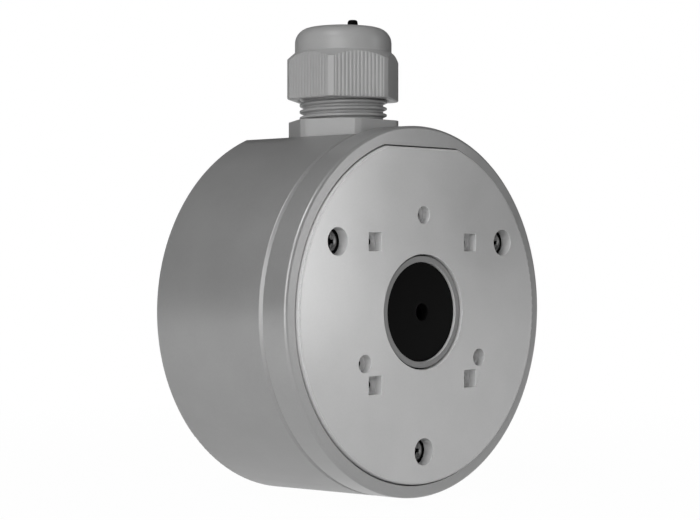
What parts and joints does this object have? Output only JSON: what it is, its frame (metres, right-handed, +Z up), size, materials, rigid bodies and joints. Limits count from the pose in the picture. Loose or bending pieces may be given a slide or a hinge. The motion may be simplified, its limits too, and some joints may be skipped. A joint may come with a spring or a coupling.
{
  "type": "camera junction box",
  "caption": "Round wall junction box with a cable gland on top and a screwed mounting plate for a camera.",
  "frame": {"origin": "centre of the back face, on the wall plane", "axes": "+Y into the wall, the front face looks along -Y; +Z up, towards the cable gland"},
  "size_m": [0.1128, 0.0554, 0.1457],
  "materials": {
    "housing_paint": "light grey powder coat on cast aluminium, satin",
    "ring_paint": "light grey powder coat on cast aluminium, satin",
    "plate_paint": "light grey powder coat on cast aluminium, satin",
    "bush_plastic": "mid grey nylon",
    "gland_plastic": "light grey nylon",
    "claw_plastic": "grey nylon",
    "black_rubber": "black rubber",
    "dark_screw_steel": "dark plated steel",
    "zinc_steel": "bright zinc plated steel"
  },
  "bodies": {
    "box": {"rear_housing": "housing_paint", "wall_grommet": "black_rubber", "earth_washer": "zinc_steel", "earth_screw": "zinc_steel", "ring_gasket": "black_rubber", "front_ring": "ring_paint", "ring_screw_1": "zinc_steel", "ring_screw_2": "zinc_steel", "ring_screw_3": "zinc_steel", "ring_screw_4": "zinc_steel", "plate_gasket": "black_rubber", "mounting_plate": "plate_paint", "screw_seal_right": "black_rubber", "plate_screw_right": "dark_screw_steel", "screw_seal_left": "black_rubber", "plate_screw_left": "dark_screw_steel", "screw_seal_bottom": "black_rubber", "plate_screw_bottom": "dark_screw_steel", "cable_hole_bush": "bush_plastic", "centre_plug": "black_rubber", "gland_body": "gland_plastic", "gland_seal_ring": "black_rubber", "gland_lock_nut": "gland_plastic", "gland_claw": "claw_plastic"},
    "gland_insert": {"gland_seal": "black_rubber", "gland_blanking_pin": "black_rubber"},
    "gland_cap": {"gland_nut": "gland_plastic"}
  },
  "joints": [
    {"name": "gland_advance", "type": "slide", "parent": "box", "child": "gland_insert", "axis": [0, 0, 1], "range_m": [0, 0.008]},
    {"name": "gland_nut_turn", "type": "hinge", "parent": "gland_insert", "child": "gland_cap", "pos_m": [0, -0.0216, 0.0643], "axis": [0, 0, 1], "range_deg": [0, 1440]}
  ],
  "couplings": [
    {"joint": "gland_nut_turn", "follows": "gland_advance", "rad_per_m": 3141.6}
  ]
}
